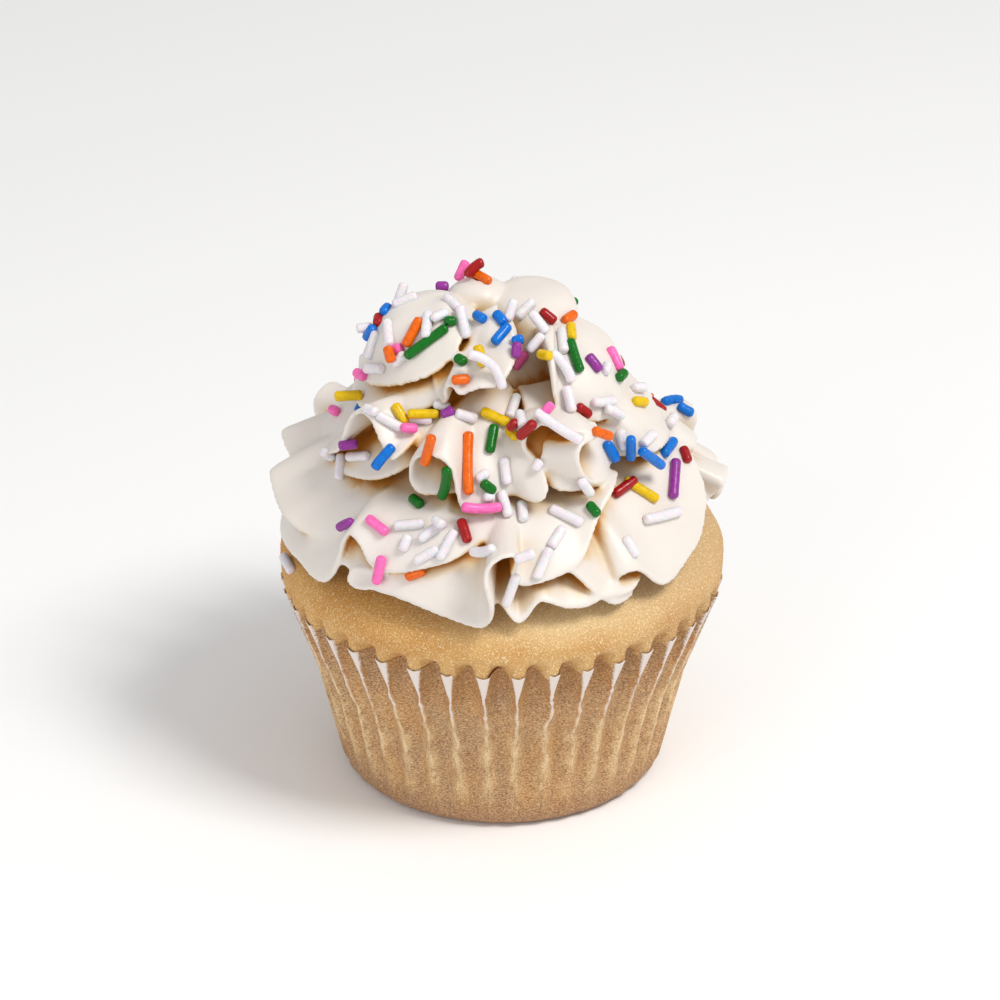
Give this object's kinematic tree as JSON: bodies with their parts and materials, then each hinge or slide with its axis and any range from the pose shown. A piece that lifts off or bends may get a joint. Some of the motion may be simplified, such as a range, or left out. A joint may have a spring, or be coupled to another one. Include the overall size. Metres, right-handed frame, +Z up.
{
  "type": "cupcake",
  "caption": "Cupcake: golden sponge baked in a fluted paper case, piled with piped ruffled whipped frosting and sugar sprinkles.",
  "frame": {"origin": "centre of the flat base of the paper case, on the surface it stands on", "axes": "+Z up through the middle of the frosting, -Y the side shown to the front, +X to its right"},
  "size_m": [0.0734, 0.0749, 0.0858],
  "materials": {
    "case_paper": "thin baking paper, browned by the sponge behind it, white at the folds",
    "sponge": "matt golden baked crumb",
    "frosting": "smooth whipped cream, soft sheen",
    "sugar_white": "pressed sugar, slightly glossy",
    "sugar_red": "pressed sugar, slightly glossy",
    "sugar_orange": "pressed sugar, slightly glossy",
    "sugar_yellow": "pressed sugar, slightly glossy",
    "sugar_green": "pressed sugar, slightly glossy",
    "sugar_blue": "pressed sugar, slightly glossy",
    "sugar_purple": "pressed sugar, slightly glossy",
    "sugar_pink": "pressed sugar, slightly glossy"
  },
  "bodies": {
    "root": {"paper_case": "case_paper", "cake": "sponge", "frosting": "frosting"}
  },
  "joints": []
}
